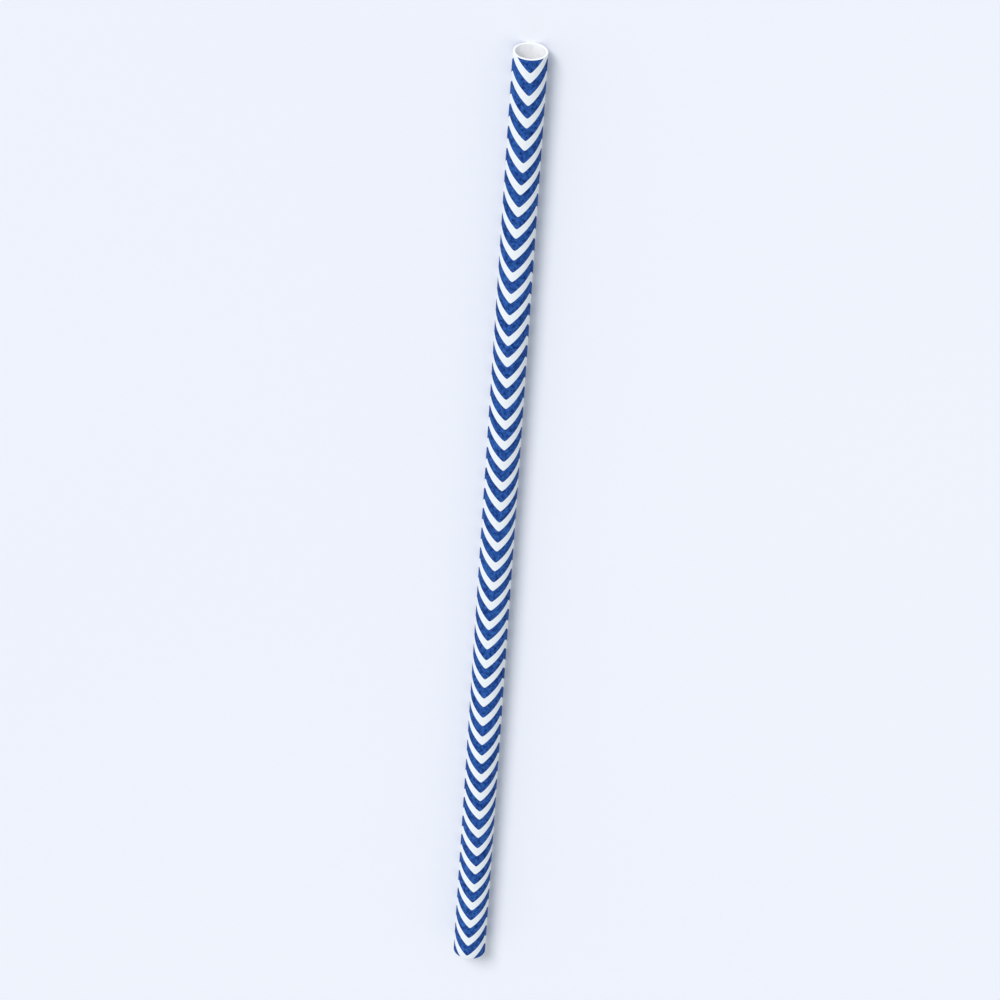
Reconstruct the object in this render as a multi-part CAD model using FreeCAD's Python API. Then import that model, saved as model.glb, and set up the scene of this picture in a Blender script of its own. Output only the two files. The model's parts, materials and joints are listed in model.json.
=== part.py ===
import FreeCAD, Part
import math
import os

# Paper drinking straw, lying on its side along X.
# It is one round tube: three paper plies wound and glued into a single wall, then cut square.
# The printed outer ply goes once round, and its two edges stop just short of each other.
# That seam runs along the underside, so the straw rests on the ply's two edges.
# The origin is under the middle of the tube, on the surface that it rests on, with +Z up.

# Driving sizes, in millimetres
LENGTH = 197.0
OUTER_DIAMETER = 6.0
WALL = 0.4
OUTER_PLY = 0.1
SEAM_GAP = 0.6
CUT_EDGE_RADIUS = 0.08

# Sizes worked out from them
OUTER_RADIUS = OUTER_DIAMETER / 2
BORE_RADIUS = OUTER_RADIUS - WALL
HALF_LENGTH = LENGTH / 2
# The two edges of a cut end can't round away more than the wall between them.
EDGE_RADIUS = min(CUT_EDGE_RADIUS, 0.45 * WALL)
# How far the outer ply's two edges lie above the lowest point of a full circle.
SEAM_EDGE_RISE = OUTER_RADIUS - math.sqrt(OUTER_RADIUS**2 - (SEAM_GAP / 2) ** 2)

ALONG = FreeCAD.Vector(1, 0, 0)
CENTRE = FreeCAD.Vector(0, 0, 0)


def corner_arc(centre_x, centre_z, toward_x, toward_z):
    """A quarter arc of the soft cut edge, bulging toward the wall's corner."""
    diagonal = EDGE_RADIUS * math.sqrt(0.5)
    start = FreeCAD.Vector(centre_x + toward_x * EDGE_RADIUS, 0, centre_z)
    middle = FreeCAD.Vector(centre_x + toward_x * diagonal, 0, centre_z + toward_z * diagonal)
    end = FreeCAD.Vector(centre_x, 0, centre_z + toward_z * EDGE_RADIUS)
    return start, middle, end


def wall_section():
    """The wall cut along the tube: a long thin strip above the axis, with four soft corners."""
    inset_x = HALF_LENGTH - EDGE_RADIUS
    low_z = BORE_RADIUS + EDGE_RADIUS
    high_z = OUTER_RADIUS - EDGE_RADIUS
    right_low = corner_arc(inset_x, low_z, 1, -1)
    right_high = corner_arc(inset_x, high_z, 1, 1)
    left_high = corner_arc(-inset_x, high_z, -1, 1)
    left_low = corner_arc(-inset_x, low_z, -1, -1)
    edges = [
        Part.Arc(*right_low).toShape(),
        Part.LineSegment(right_low[0], right_high[0]).toShape(),
        Part.Arc(*right_high).toShape(),
        Part.LineSegment(right_high[2], left_high[2]).toShape(),
        Part.Arc(*left_high).toShape(),
        Part.LineSegment(left_high[0], left_low[0]).toShape(),
        Part.Arc(*left_low).toShape(),
        Part.LineSegment(left_low[2], right_low[2]).toShape(),
    ]
    return Part.Face(Part.Wire(Part.__sortEdges__(edges)))


def seam_space():
    """The space between the outer ply's two edges, as deep as that ply, with a flat floor."""
    floor_z = OUTER_PLY - OUTER_RADIUS
    start = FreeCAD.Vector(-HALF_LENGTH, -SEAM_GAP / 2, floor_z - OUTER_RADIUS)
    return Part.makeBox(LENGTH, SEAM_GAP, OUTER_RADIUS, start)


def straw():
    """The wall's section turned once about the tube's axis, with the seam let into its underside."""
    tube = wall_section().revolve(CENTRE, ALONG, 360)
    tube = tube.cut(seam_space())
    tube.translate(FreeCAD.Vector(0, 0, OUTER_RADIUS - SEAM_EDGE_RISE))
    return tube


def main():
    os.makedirs("parts", exist_ok=True)
    tube = straw()
    tube.exportStep("parts/straw.step")
    box = tube.optimalBoundingBox()
    print("straw valid", tube.isValid(), "solids", len(tube.Solids), "volume", round(tube.Volume, 2))
    print("box", [round(v, 3) for v in (box.XMin, box.XMax, box.YMin, box.YMax, box.ZMin, box.ZMax)])


main()
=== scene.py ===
import json
import math
from collections import namedtuple
import bpy
from mathutils import Matrix, Vector, noise


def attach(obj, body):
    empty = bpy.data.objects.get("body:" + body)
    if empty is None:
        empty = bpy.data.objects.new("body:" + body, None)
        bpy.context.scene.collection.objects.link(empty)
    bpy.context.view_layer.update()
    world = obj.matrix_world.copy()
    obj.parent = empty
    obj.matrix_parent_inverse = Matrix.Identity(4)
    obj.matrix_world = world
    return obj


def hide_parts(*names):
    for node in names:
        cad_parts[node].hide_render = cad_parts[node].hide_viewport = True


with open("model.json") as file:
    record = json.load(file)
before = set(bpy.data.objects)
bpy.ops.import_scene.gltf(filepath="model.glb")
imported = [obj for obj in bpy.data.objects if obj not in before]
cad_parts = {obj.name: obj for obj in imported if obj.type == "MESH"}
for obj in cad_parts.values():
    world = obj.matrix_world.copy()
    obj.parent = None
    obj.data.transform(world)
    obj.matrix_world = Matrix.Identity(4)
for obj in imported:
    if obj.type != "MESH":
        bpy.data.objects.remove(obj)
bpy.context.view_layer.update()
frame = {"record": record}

# A paper drinking straw that lies on its side along X, with the end that the photograph shows open at +X.
# The mesh counts angles round the tube from its lowest line, where the outer ply's seam is.

MM = 0.001
mounts = {mount["name"]: mount for mount in frame["record"]["mounts"]}
OUTER_RADIUS = mounts["outer_wall"]["dims"]["r_mm"]
BORE_RADIUS = mounts["sip_bore"]["dims"]["r_mm"]
HALF_LENGTH = mounts["outer_wall"]["dims"]["length_mm"] / 2
AXIS_HEIGHT = mounts["outer_wall"]["pos_m"][2] / MM
WALL = OUTER_RADIUS - BORE_RADIUS

# The plies, the seams and the cut edges, in millimetres
OUTER_PLY = 0.1
MIDDLE_PLY = 0.15
SEAM_GAP = 0.6
LIP_RADIUS = 0.02
INNER_SEAM_AT = math.radians(152)
INNER_SEAM_WIDTH = math.radians(4.5)
INNER_SEAM_DEPTH = 0.04
CUT_EDGE_RADIUS = 0.08
PLY_LINE_DEPTH = 0.025
PLY_LINE_HALF_WIDTH = 0.012

# How far a wound and cut tube is from a perfect one, in millimetres
PRESSED_END = 0.02
PRESSED_REACH = 5.0
WALL_WAVE = 0.008
WALL_WAVE_LENGTH = 9.0
CUT_FUZZ = 0.012
CUT_FUZZ_LENGTH = 0.5

# How fast the wall's wave changes round the tube, and the cut's fuzz through each millimetre of the wall
WALL_WAVE_ROUND = 2
CUT_FUZZ_THROUGH = 9

# A plane that lies between two planes of the noise's own grid, where it would often be 0
NOISE_PLANE = 0.37

# How finely the mesh is divided, and the angle from which its edges are sharp
ROUND_STEPS = 144
OUTER_STEPS = 150
BORE_STEPS = 76
HALF_FLOOR_STEPS = 2
ARC_STEPS = 3
SHARP_ANGLE = math.radians(38)

# Where a ring of the mesh holds the cut face flat: LINE_HOLD half widths before a ply line's middle, and
# EDGE_HOLD edge radii before the bore
LINE_HOLD = 2.5
EDGE_HOLD = 1.4

# How far a rounded lip's middle is from the sharp corner, each way, in its radii
LIP_MIDDLE = 0.3

# The bare rim between two strips of the bake's map, in millimetres, and how much wider a cut end is there
BAKE_MARGIN = 0.8
RING_WIDENED = 5.0

# The straw's material slots
PRINTED, BARE, CUT = range(3)

# The zigzag print, in millimetres. FIRST_BAND_AT is how far from the open end the first blue band starts,
# and WAVE_HEIGHT how far the bands go up and down, both as they would be with sharp corners.
PITCH = 4.40
BLUE_SHARE = 0.565
FIRST_BAND_AT = 0.3
WAVE_HEIGHT = 4.1
WAVES_AROUND = 2.5
CORNER_ROUNDING = 0.014
SEAM_STEP = 0.5
INK_EDGE_SOFT = 0.03
INK_EDGE_WANDER = 0.05

# The line along the straw that joins the corners: how far round from the topmost line it is, and its swing
COLUMN_MIDDLE = math.radians(-3)
COLUMN_SWING = math.radians(7.5)
COLUMN_SWING_LENGTH = 80.0
COLUMN_SWING_START = 8.0

# Grain in the materials: how many of a noise's spots lie in a millimetre
FIBRES_PER_MM = 5.0
PAPER_CLOUDS_PER_MM = 1.3
INK_CLOUDS_PER_MM = 1.5
INK_EDGE_PER_MM = 2.2
PINHOLES_PER_MM = 7.0
CUT_FIBRES_PER_MM = 9.0
TABLE_CLOUDS_PER_MM = 0.004

# The detail and roughness of a noise
SOFT_NOISE = (2.0, 0.5)
FINE_NOISE = (3.0, 0.6)
FIBROUS_NOISE = (3.0, 0.65)

# The part of a noise's range, between 0 and 1, over which a colour or a roughness changes
INK_SPAN = (0.38, 0.62)
PINHOLE_SPAN = (0.69, 0.78)
COATED_SPAN = (0.38, 0.60)
BARE_SPAN = (0.32, 0.68)
CUT_SPAN = (0.35, 0.65)
WIDE_SPAN = (0.3, 0.7)

# How fast the fibres change along the straw, against across it, their share of the paper's grain, the
# clouds' share of the ink's tone, and how much of the paper shows in a pinhole
ALONG_FIBRES = 0.35
FIBRE_SHARE = 0.65
INK_CLOUD_SHARE = 0.65
PINHOLE_BARE = 0.22

# Roughness: of paper and of ink in the print, and of the grain's low and high in bare and in cut paper
PRINT_ROUGHNESS = (0.66, 0.58)
BARE_ROUGHNESS = (0.72, 0.84)
CUT_ROUGHNESS = (0.80, 0.92)
TABLE_ROUGHNESS = 0.85

# Relief: its depth in millimetres and its strength, and the ink's thickness as a share of the print's depth
PRINT_RELIEF = (0.02, 0.5)
BARE_RELIEF = (0.03, 0.6)
CUT_RELIEF = (0.03, 0.7)
INK_THICKNESS = 0.12

# How strongly the printed face and the table reflect, against 0.5 for plain varnish
PRINT_GLOSS = 0.015
TABLE_GLOSS = 0.2

# How much of the bare paper's colour comes through the paper, and how far light runs in it, in millimetres
PAPER_GLOW = 0.7
PAPER_GLOW_REACH = 0.5

# Colours, linear
INK_DEEP = (0.0060, 0.026, 0.150, 1)
INK_LIGHT = (0.0360, 0.132, 0.450, 1)
COATED_PAPER = (0.880, 0.905, 0.925, 1)
COATED_PAPER_DARK = (0.825, 0.855, 0.882, 1)
BARE_PAPER = (0.890, 0.890, 0.900, 1)
BARE_PAPER_DARK = (0.840, 0.835, 0.842, 1)
CUT_PAPER = (0.890, 0.895, 0.900, 1)
TABLE = (0.905, 0.912, 0.955, 1)
TABLE_SHADE = (0.892, 0.900, 0.948, 1)
SKY = (0.870, 0.940, 1.0, 1)

# The photograph's view of the straw: the camera's distance from the open end in metres, and the angle there
# between the tube's axis and the line to the camera
CAMERA_DISTANCE = 0.827
CAMERA_ANGLE = math.radians(60)
LEAN_IN_PICTURE = math.radians(3.9)
SHARE_OF_FRAME = 0.9

# The camera's sensor in millimetres, and the nearest and farthest that it sees in metres
SENSOR = 36.0
SEEN_FROM = 0.01
SEEN_TO = 50.0

# How far the table reaches each way, in metres
TABLE_REACH = 12.0

# Light: the sky gives a little more than half of what falls on the table, and one soft lamp the rest. The
# lamp is tilted from overhead, to the left and forward over the open end.
SKY_LEVEL = 0.58
KEY_LEVEL = 0.66
KEY_SPREAD = math.radians(23)
KEY_LEFT = math.radians(25)
KEY_FORWARD = math.radians(45)


def wave(value, period, across):
    """A slow, smooth, repeatable wander between about -1 and 1, another one for each across."""
    return noise.noise(Vector((value / period, across, NOISE_PLANE)))


# Round the tube: a column of the mesh has its angle and radius on the outside, and may be in the seam's gap

Column = namedtuple("Column", "angle radius in_gap")


def seam_column(y, below_axis, in_gap):
    """The column through one point of the seam's section."""
    return Column(math.atan2(y, below_axis), math.hypot(y, below_axis), in_gap)


def outer_columns():
    """The columns once round the outside, from the middle of the seam's floor."""
    half_gap = SEAM_GAP / 2
    floor_level = OUTER_RADIUS - OUTER_PLY
    floor = []
    for i in range(HALF_FLOOR_STEPS + 1):
        floor.append(seam_column(half_gap * i / HALF_FLOOR_STEPS, floor_level, True))
    corner_level = math.sqrt(OUTER_RADIUS**2 - half_gap**2)
    middle = LIP_MIDDLE * LIP_RADIUS
    lip_angle = math.asin((half_gap + LIP_RADIUS) / OUTER_RADIUS)
    lip = [
        seam_column(half_gap, corner_level - LIP_RADIUS, True),
        seam_column(half_gap + middle, corner_level - middle, False),
        Column(lip_angle, OUTER_RADIUS, False),
    ]
    near_side = floor + lip
    around = []
    for i in range(1, ROUND_STEPS):
        share = i / ROUND_STEPS
        around.append(Column(lip_angle + share * (2 * math.pi - 2 * lip_angle), OUTER_RADIUS, False))
    far_side = [Column(2 * math.pi - c.angle, c.radius, c.in_gap) for c in reversed(near_side[1:])]
    return near_side + around + far_side


def bore_radius(angle):
    """The bore with the inner ply's butt seam as one shallow line."""
    off = abs(angle - INNER_SEAM_AT) / (INNER_SEAM_WIDTH / 2)
    return BORE_RADIUS + INNER_SEAM_DEPTH * max(0.0, 1 - off)


# Along the tube: a station is a ring of the mesh, at x and at a depth through the wall. Its zone is outside,
# cut or bore, and step is its number on a cut end.

Station = namedtuple("Station", "x depth zone step")


def cut_levels():
    """(depth through the wall, inset) over the cut face's flat, with a fine line where two plies meet."""
    levels = []
    for line in (OUTER_PLY, OUTER_PLY + MIDDLE_PLY):
        levels += [
            (line - LINE_HOLD * PLY_LINE_HALF_WIDTH, 0.0),
            (line - PLY_LINE_HALF_WIDTH, 0.0),
            (line, PLY_LINE_DEPTH),
            (line + PLY_LINE_HALF_WIDTH, 0.0),
        ]
    levels.append((WALL - EDGE_HOLD * CUT_EDGE_RADIUS, 0.0))
    return [level for level in levels if CUT_EDGE_RADIUS < level[0] < WALL - CUT_EDGE_RADIUS]


def edge_arc(inner):
    """(depth through the wall, inset from the cut face) along a soft edge, from outside to inside."""
    points = []
    for i in range(ARC_STEPS + 1):
        turn = math.pi / 2 * i / ARC_STEPS
        depth = CUT_EDGE_RADIUS * (1 - math.cos(turn))
        inset = CUT_EDGE_RADIUS * (1 - math.sin(turn))
        points.append((depth, inset))
    if inner:
        points = [(WALL - depth, inset) for depth, inset in reversed(points)]
    return points


def cut_profile(side):
    """(x, depth) over one cut end, from the outside to the bore. side is 1 at the open end, else -1."""
    levels = edge_arc(False) + cut_levels() + edge_arc(True)
    return [(side * (HALF_LENGTH - inset), depth) for depth, inset in levels]


def cut_end(side):
    """The stations over one cut end, from the outside to the bore."""
    return [Station(x, depth, "cut", step) for step, (x, depth) in enumerate(cut_profile(side))]


def lengthwise(steps):
    """Even places along the tube between its two cut ends, without the ends."""
    reach = HALF_LENGTH - CUT_EDGE_RADIUS
    return [-reach + 2 * reach * i / steps for i in range(1, steps)]


def all_stations():
    """Once round the wall's section: outside, open end, bore, other end."""
    outside = [Station(x, 0.0, "outside", 0) for x in lengthwise(OUTER_STEPS)]
    bore = [Station(x, WALL, "bore", 0) for x in reversed(lengthwise(BORE_STEPS))]
    return outside + cut_end(1) + bore + list(reversed(cut_end(-1)))


def wall_point(station, column, bore_angle):
    """Where a station and a column cross, in metres."""
    through = station.depth / WALL
    angle = column.angle + (bore_angle - column.angle) * through
    radius = column.radius + (bore_radius(bore_angle) - column.radius) * through
    # The cut has pressed each end a little flatter, from above and below.
    from_end = HALF_LENGTH - abs(station.x)
    pressed = PRESSED_END * math.exp(-from_end / PRESSED_REACH)
    radius -= pressed * (1 + math.cos(2 * angle)) / 2
    # The wall wavers inwards only, and not at all along the lowest line.
    waver = wave(station.x, WALL_WAVE_LENGTH, WALL_WAVE_ROUND * math.cos(angle))
    radius += WALL_WAVE * (waver - 1) * (1 - math.cos(angle)) / 2
    x = station.x
    if station.zone == "cut":
        fuzz = wave(angle * OUTER_RADIUS, CUT_FUZZ_LENGTH, station.depth * CUT_FUZZ_THROUGH + x)
        x -= math.copysign(CUT_FUZZ, x) * (1 + fuzz) / 2
    y = radius * math.sin(angle)
    z = AXIS_HEIGHT - radius * math.cos(angle)
    return Vector((x, y, max(z, 0.0))) * MM


def running_length(points):
    """How far along a line of points each one is, from 0."""
    places = [0.0]
    for start, end in zip(points, points[1:]):
        places.append(places[-1] + math.dist(start, end))
    return places


class BakeMap:
    """The wall laid flat in six strips: the outside, the bore and the cut ends, each in two halves."""

    def __init__(self, columns):
        ring = [(c.radius * math.sin(c.angle), c.radius * math.cos(c.angle)) for c in columns]
        self.outer_arc = running_length(ring + ring[:1])
        self.through = {side: running_length(cut_profile(side)) for side in (1, -1)}
        heights = {
            ("outside", -1): self.outer_arc[-1],
            ("outside", 1): self.outer_arc[-1],
            ("bore", -1): 2 * math.pi * BORE_RADIUS,
            ("bore", 1): 2 * math.pi * BORE_RADIUS,
            ("cut", -1): self.through[-1][-1] * RING_WIDENED,
            ("cut", 1): self.through[1][-1] * RING_WIDENED,
        }
        self.start = {}
        top = BAKE_MARGIN
        for strip, height in heights.items():
            self.start[strip] = top
            top += height + BAKE_MARGIN
        self.size = (HALF_LENGTH + 2 * BAKE_MARGIN, top)

    def spot(self, strip, station, j):
        """Where the strip has a station's point on column j, from 0 to 1 each way."""
        zone, side = strip
        if zone == "cut":
            turn = self.outer_arc[j] / self.outer_arc[-1]
            along = HALF_LENGTH * (turn if side > 0 else 1 - turn)
            across = self.through[side][station.step] * RING_WIDENED
        elif zone == "outside":
            along = station.x if side > 0 else station.x + HALF_LENGTH
            across = self.outer_arc[-1] - self.outer_arc[j]
        else:
            along = HALF_LENGTH - station.x if side > 0 else -station.x
            across = 2 * math.pi * BORE_RADIUS * (1 - j / (len(self.outer_arc) - 1))
        return (BAKE_MARGIN + along) / self.size[0], (self.start[strip] + across) / self.size[1]


def material_slot(zone, in_gap):
    """The material slot of a face. The gap in the outer ply bares the ply beneath it."""
    if zone == "cut":
        return CUT
    return BARE if zone == "bore" or in_gap else PRINTED


def straw_mesh():
    """One closed wall: every station joined to the next, and every column to the next."""
    stations = all_stations()
    columns = outer_columns()
    rows, around = len(stations), len(columns)
    bore_angles = [2 * math.pi * j / around for j in range(around)]
    points = [wall_point(s, c, b) for s in stations for c, b in zip(columns, bore_angles)]
    bake_map = BakeMap(columns)
    faces, slots, spots = [], [], []
    for i in range(rows):
        here, after = stations[i], stations[(i + 1) % rows]
        zone = here.zone if after.zone == "cut" else after.zone
        strip = (zone, 1 if here.x + after.x > 0 else -1)
        row, next_row = i * around, (i + 1) % rows * around
        for j in range(around):
            k = (j + 1) % around
            faces.append((row + j, row + k, next_row + k, next_row + j))
            slots.append(material_slot(zone, columns[j].in_gap or columns[k].in_gap))
            for station, column in ((here, j), (here, j + 1), (after, j + 1), (after, j)):
                spots.extend(bake_map.spot(strip, station, column))
    mesh = bpy.data.meshes.new("paper_straw")
    mesh.from_pydata(points, [], faces)
    mesh.polygons.foreach_set("material_index", slots)
    mesh.polygons.foreach_set("use_smooth", [True] * len(faces))
    mesh.uv_layers.new(name="OFBake").uv.foreach_set("vector", spots)
    mesh.update()
    mesh.set_sharp_from_angle(angle=SHARP_ANGLE)
    return mesh


# Materials


class Nodes:
    """Short calls that add nodes to one material and link them."""

    # A Mix node's colour sockets have the names of its number sockets, so they are found by their place.
    MIX_FIRST, MIX_SECOND, MIX_RESULT = 6, 7, 2

    def __init__(self, name):
        self.material = bpy.data.materials.new(name)
        self.material.use_nodes = True
        self.tree = self.material.node_tree
        self.shader = self.tree.nodes["Principled BSDF"]

    def add(self, kind, **settings):
        node = self.tree.nodes.new(kind)
        for key, value in settings.items():
            setattr(node, key, value)
        return node

    def join(self, source, socket):
        """Links the source, or sets the socket where the source is a plain number or colour."""
        if isinstance(source, bpy.types.NodeSocket):
            self.tree.links.new(source, socket)
        else:
            socket.default_value = source

    def shade(self, name, source):
        """Joins the source to one of the shader's own sockets."""
        self.join(source, self.shader.inputs[name])

    def math(self, operation, *values):
        node = self.add("ShaderNodeMath", operation=operation)
        for socket, value in zip(node.inputs, values):
            self.join(value, socket)
        return node.outputs[0]

    def blend(self, share, first, second):
        """That share of the first number, and the rest of the second."""
        part = self.math("MULTIPLY", first, share)
        rest = self.math("MULTIPLY", second, 1 - share)
        return self.math("ADD", part, rest)

    def position(self):
        """Where the point is on the object, in metres."""
        return self.add("ShaderNodeTexCoord").outputs["Object"]

    def split(self, vector):
        node = self.add("ShaderNodeSeparateXYZ")
        self.join(vector, node.inputs[0])
        return node.outputs["X"], node.outputs["Y"], node.outputs["Z"]

    def scaled(self, vector, factors):
        node = self.add("ShaderNodeVectorMath", operation="MULTIPLY")
        self.join(vector, node.inputs[0])
        self.join(factors, node.inputs[1])
        return node.outputs[0]

    def noise(self, where, per_mm, texture):
        node = self.add("ShaderNodeTexNoise")
        detail, roughness = texture
        self.join(where, node.inputs["Vector"])
        self.join(per_mm / MM, node.inputs["Scale"])
        self.join(detail, node.inputs["Detail"])
        self.join(roughness, node.inputs["Roughness"])
        return node.outputs["Fac"]

    def ramp(self, value, span, low=0.0, high=1.0, smooth=False):
        """low up to the span's start, and high from its end on."""
        node = self.add("ShaderNodeMapRange", interpolation_type="SMOOTHSTEP" if smooth else "LINEAR")
        settings = (("From Min", span[0]), ("From Max", span[1]), ("To Min", low), ("To Max", high))
        for key, number in settings:
            self.join(number, node.inputs[key])
        self.join(value, node.inputs["Value"])
        return node.outputs["Result"]

    def mix(self, share, first, second):
        node = self.add("ShaderNodeMix", data_type="RGBA")
        self.join(share, node.inputs["Factor"])
        self.join(first, node.inputs[self.MIX_FIRST])
        self.join(second, node.inputs[self.MIX_SECOND])
        return node.outputs[self.MIX_RESULT]

    def bump(self, height, relief):
        node = self.add("ShaderNodeBump")
        depth_mm, strength = relief
        self.join(strength, node.inputs["Strength"])
        self.join(depth_mm * MM, node.inputs["Distance"])
        self.join(height, node.inputs["Height"])
        self.shade("Normal", node.outputs["Normal"])


def fibres(nodes, where):
    """Paper's own fine, mostly lengthwise grain, from 0 to 1."""
    drawn_out = nodes.scaled(where, (ALONG_FIBRES, 1, 1))
    long_fibres = nodes.noise(drawn_out, FIBRES_PER_MM, FINE_NOISE)
    cloud = nodes.noise(where, PAPER_CLOUDS_PER_MM, SOFT_NOISE)
    return nodes.blend(FIBRE_SHARE, long_fibres, cloud)


def corner_line(nodes, from_end):
    """How far round from the topmost line the bands have their corner, at a distance from the open end."""
    along_swing = nodes.math("SUBTRACT", from_end, COLUMN_SWING_START)
    turn = nodes.math("MULTIPLY", along_swing, 2 * math.pi / COLUMN_SWING_LENGTH)
    swing = nodes.math("MULTIPLY", nodes.math("COSINE", turn), COLUMN_SWING)
    return nodes.math("ADD", swing, COLUMN_MIDDLE)


def ink_cover(nodes, where):
    """1 in the blue zigzag bands and 0 in the white ones."""
    x, y, z = nodes.split(where)
    from_end = nodes.math("SUBTRACT", HALF_LENGTH, nodes.math("MULTIPLY", x, 1 / MM))
    # Here the angle is 0 along the topmost line, and half a turn either way at the seam.
    above_axis = nodes.math("SUBTRACT", z, AXIS_HEIGHT * MM)
    angle = nodes.math("ARCTAN2", nodes.math("MULTIPLY", y, -1), above_axis)
    from_corner = nodes.math("SUBTRACT", angle, corner_line(nodes, from_end))
    waves = nodes.math("MULTIPLY", from_corner, WAVES_AROUND)
    # The arc cosine of a slightly shortened cosine is a zigzag with its corners rounded a little.
    shortened = nodes.math("MULTIPLY", nodes.math("COSINE", waves), 1 - CORNER_ROUNDING)
    rise = nodes.math("MULTIPLY", nodes.math("ARCCOSINE", shortened), WAVE_HEIGHT / math.pi)
    # The print runs a little askew, which adds a step where its two edges meet at the seam.
    slip = nodes.math("MULTIPLY", angle, SEAM_STEP / (2 * math.pi))
    wander = nodes.math("SUBTRACT", nodes.noise(where, INK_EDGE_PER_MM, FINE_NOISE), 0.5)
    jitter = nodes.math("MULTIPLY", wander, 2 * INK_EDGE_WANDER)
    along = nodes.math("ADD", nodes.math("ADD", from_end, rise), nodes.math("ADD", slip, jitter))
    first_middle = FIRST_BAND_AT / PITCH + BLUE_SHARE / 2
    periods = nodes.math("SUBTRACT", nodes.math("DIVIDE", along, PITCH), first_middle)
    from_middle = nodes.math("MULTIPLY", nodes.math("PINGPONG", periods, 0.5), PITCH)
    edge = BLUE_SHARE * PITCH / 2
    return nodes.ramp(from_middle, (edge - INK_EDGE_SOFT, edge + INK_EDGE_SOFT), 1.0, 0.0, smooth=True)


def printed_paper():
    """Coated white paper, and blue ink of an uneven tone with a few pinholes."""
    nodes = Nodes("printed_outer_ply")
    where = nodes.position()
    cover = ink_cover(nodes, where)
    grain = fibres(nodes, where)
    cloud = nodes.noise(where, INK_CLOUDS_PER_MM, FINE_NOISE)
    tone = nodes.blend(INK_CLOUD_SHARE, cloud, grain)
    ink = nodes.mix(nodes.ramp(tone, INK_SPAN), INK_DEEP, INK_LIGHT)
    specks = nodes.noise(where, PINHOLES_PER_MM, SOFT_NOISE)
    pinholes = nodes.ramp(specks, PINHOLE_SPAN, 0.0, PINHOLE_BARE)
    solid_ink = nodes.math("MULTIPLY", cover, nodes.math("SUBTRACT", 1.0, pinholes))
    paper = nodes.mix(nodes.ramp(grain, COATED_SPAN), COATED_PAPER_DARK, COATED_PAPER)
    nodes.shade("Base Color", nodes.mix(solid_ink, paper, ink))
    nodes.shade("Roughness", nodes.ramp(cover, (0.0, 1.0), *PRINT_ROUGHNESS))
    nodes.shade("Specular IOR Level", PRINT_GLOSS)
    nodes.bump(nodes.math("ADD", grain, nodes.math("MULTIPLY", cover, INK_THICKNESS)), PRINT_RELIEF)
    return nodes.material


def bare_paper():
    """Uncoated paper, which glows a little because light runs some way in it."""
    nodes = Nodes("bare_inner_ply")
    grain = fibres(nodes, nodes.position())
    nodes.shade("Base Color", nodes.mix(nodes.ramp(grain, BARE_SPAN), BARE_PAPER_DARK, BARE_PAPER))
    nodes.shade("Roughness", nodes.ramp(grain, WIDE_SPAN, *BARE_ROUGHNESS))
    nodes.shade("Subsurface Weight", PAPER_GLOW)
    nodes.shade("Subsurface Radius", (1, 1, 1))
    nodes.shade("Subsurface Scale", PAPER_GLOW_REACH * MM)
    nodes.bump(grain, BARE_RELIEF)
    return nodes.material


def cut_paper():
    """The cut across the plies, with the ends of their fibres."""
    nodes = Nodes("cut_edge")
    fuzz = nodes.noise(nodes.position(), CUT_FIBRES_PER_MM, FIBROUS_NOISE)
    nodes.shade("Base Color", nodes.mix(nodes.ramp(fuzz, CUT_SPAN), BARE_PAPER, CUT_PAPER))
    nodes.shade("Roughness", nodes.ramp(fuzz, WIDE_SPAN, *CUT_ROUGHNESS))
    nodes.bump(fuzz, CUT_RELIEF)
    return nodes.material


def table_top():
    """A plain pale table whose tone hardly varies."""
    nodes = Nodes("pale_table")
    cloud = nodes.noise(nodes.position(), TABLE_CLOUDS_PER_MM, SOFT_NOISE)
    nodes.shade("Base Color", nodes.mix(nodes.ramp(cloud, WIDE_SPAN), TABLE_SHADE, TABLE))
    nodes.shade("Roughness", TABLE_ROUGHNESS)
    nodes.shade("Specular IOR Level", TABLE_GLOSS)
    return nodes.material


# Stage, light and camera


def make_floor():
    mesh = bpy.data.meshes.new("floor")
    reach = TABLE_REACH
    corners = [(-reach, -reach, 0), (reach, -reach, 0), (reach, reach, 0), (-reach, reach, 0)]
    mesh.from_pydata(corners, [], [(0, 1, 2, 3)])
    mesh.materials.append(table_top())
    floor = bpy.data.objects.new("floor", mesh)
    bpy.context.scene.collection.objects.link(floor)


def key_direction():
    """Toward the lamp: to the left of the camera, and over the straw's open end."""
    return Vector((math.tan(KEY_FORWARD), math.tan(KEY_LEFT), 1)).normalized()


def lit_table():
    """The colour that the table has under the sky and the lamp."""
    key_share = KEY_LEVEL * key_direction().z
    light = [SKY_LEVEL * sky + key_share for sky in SKY[:3]]
    return [(pale + shade) / 2 * level for pale, shade, level in zip(TABLE, TABLE_SHADE, light)] + [1]


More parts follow.
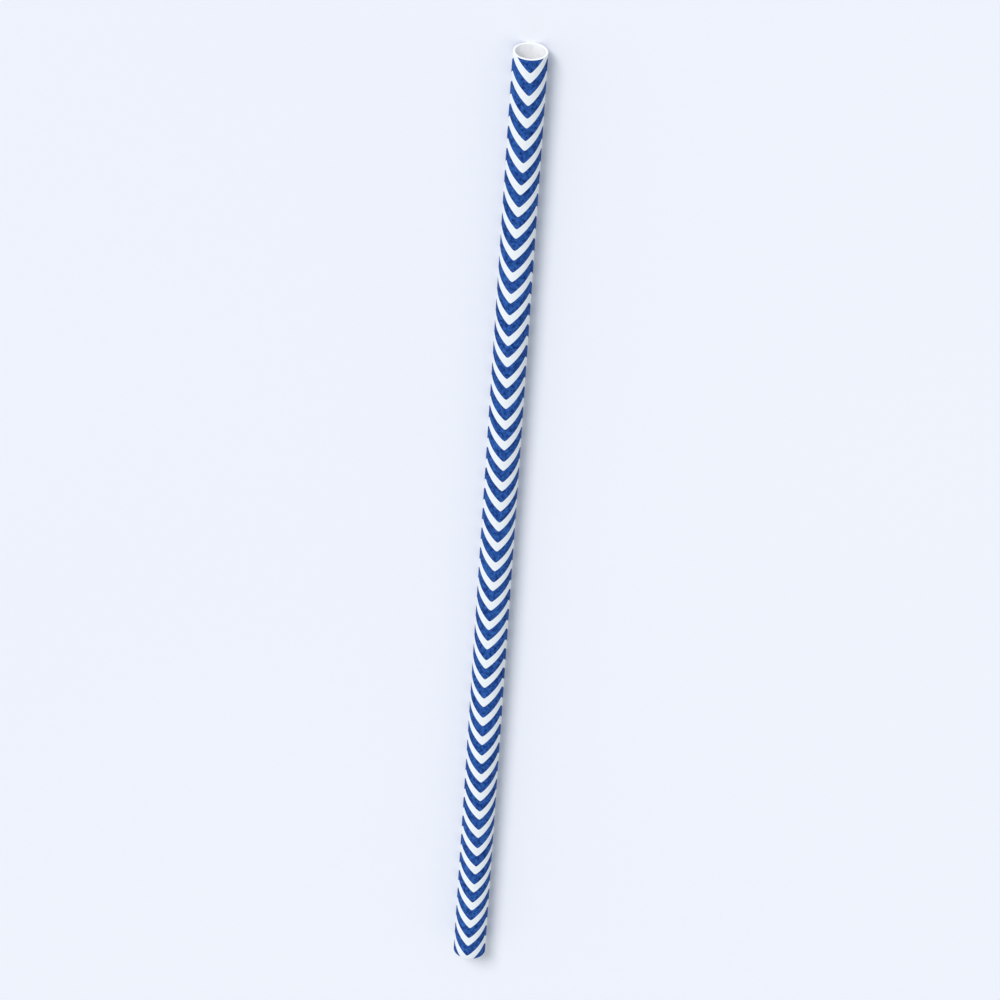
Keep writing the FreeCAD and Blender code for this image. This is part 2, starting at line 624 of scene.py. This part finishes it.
def make_sky():
    """Soft light from all round, and the lit table's colour wherever a ray sees past the table."""
    world = bpy.data.worlds.new("studio")
    bpy.context.scene.world = world
    world.use_nodes = True
    tree = world.node_tree
    tree.nodes.clear()
    light = tree.nodes.new("ShaderNodeBackground")
    light.inputs["Color"].default_value = SKY
    light.inputs["Strength"].default_value = SKY_LEVEL
    backdrop = tree.nodes.new("ShaderNodeBackground")
    backdrop.inputs["Color"].default_value = lit_table()
    backdrop.inputs["Strength"].default_value = 1.0
    path = tree.nodes.new("ShaderNodeLightPath")
    seen = path.outputs["Is Camera Ray"]
    for other in ("Is Glossy Ray", "Is Transmission Ray"):
        either = tree.nodes.new("ShaderNodeMath")
        either.operation = "MAXIMUM"
        tree.links.new(seen, either.inputs[0])
        tree.links.new(path.outputs[other], either.inputs[1])
        seen = either.outputs[0]
    mix = tree.nodes.new("ShaderNodeMixShader")
    output = tree.nodes.new("ShaderNodeOutputWorld")
    tree.links.new(seen, mix.inputs[0])
    tree.links.new(light.outputs[0], mix.inputs[1])
    tree.links.new(backdrop.outputs[0], mix.inputs[2])
    tree.links.new(mix.outputs[0], output.inputs["Surface"])


def make_key():
    """One large soft lamp, so far away that it lights the whole table evenly."""
    lamp = bpy.data.lights.new("key", "SUN")
    lamp.angle = KEY_SPREAD
    lamp.energy = KEY_LEVEL * math.pi
    key = bpy.data.objects.new("key", lamp)
    key.rotation_euler = key_direction().to_track_quat("Z", "Y").to_euler()
    bpy.context.scene.collection.objects.link(key)


def make_camera():
    """The photograph's camera: so far from the open end, and the straw leaning as it does there."""
    open_end = Vector((HALF_LENGTH, 0, AXIS_HEIGHT)) * MM
    far_end = Vector((-HALF_LENGTH, 0, AXIS_HEIGHT)) * MM
    toward = Vector((math.cos(CAMERA_ANGLE), 0, math.sin(CAMERA_ANGLE)))
    place_at = open_end + toward * CAMERA_DISTANCE
    to_open = (open_end - place_at).normalized()
    to_far = (far_end - place_at).normalized()
    back = -(to_open + to_far).normalized()
    half_angle = to_open.angle(to_far) / 2
    straight_up = (Vector((1, 0, 0)) - back * back.x).normalized()
    straight_right = straight_up.cross(back)
    up = straight_up * math.cos(LEAN_IN_PICTURE) - straight_right * math.sin(LEAN_IN_PICTURE)
    right = up.cross(back)
    camera = bpy.data.objects.new("camera", bpy.data.cameras.new("camera"))
    camera.data.sensor_width = SENSOR
    camera.data.lens = SENSOR * SHARE_OF_FRAME / (2 * math.tan(half_angle))
    camera.data.clip_start = SEEN_FROM
    camera.data.clip_end = SEEN_TO
    camera.matrix_world = Matrix.Translation(place_at) @ Matrix((right, up, back)).transposed().to_4x4()
    bpy.context.scene.collection.objects.link(camera)
    bpy.context.scene.camera = camera


make_camera()
make_floor()
make_sky()
make_key()
bpy.context.scene.view_settings.view_transform = "Standard"

# The materials are added in the order of the slots PRINTED, BARE and CUT.
straw = bpy.data.objects.new("paper_straw", straw_mesh())
for material in (printed_paper(), bare_paper(), cut_paper()):
    straw.data.materials.append(material)
bpy.context.scene.collection.objects.link(straw)
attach(straw, "root")
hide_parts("straw")
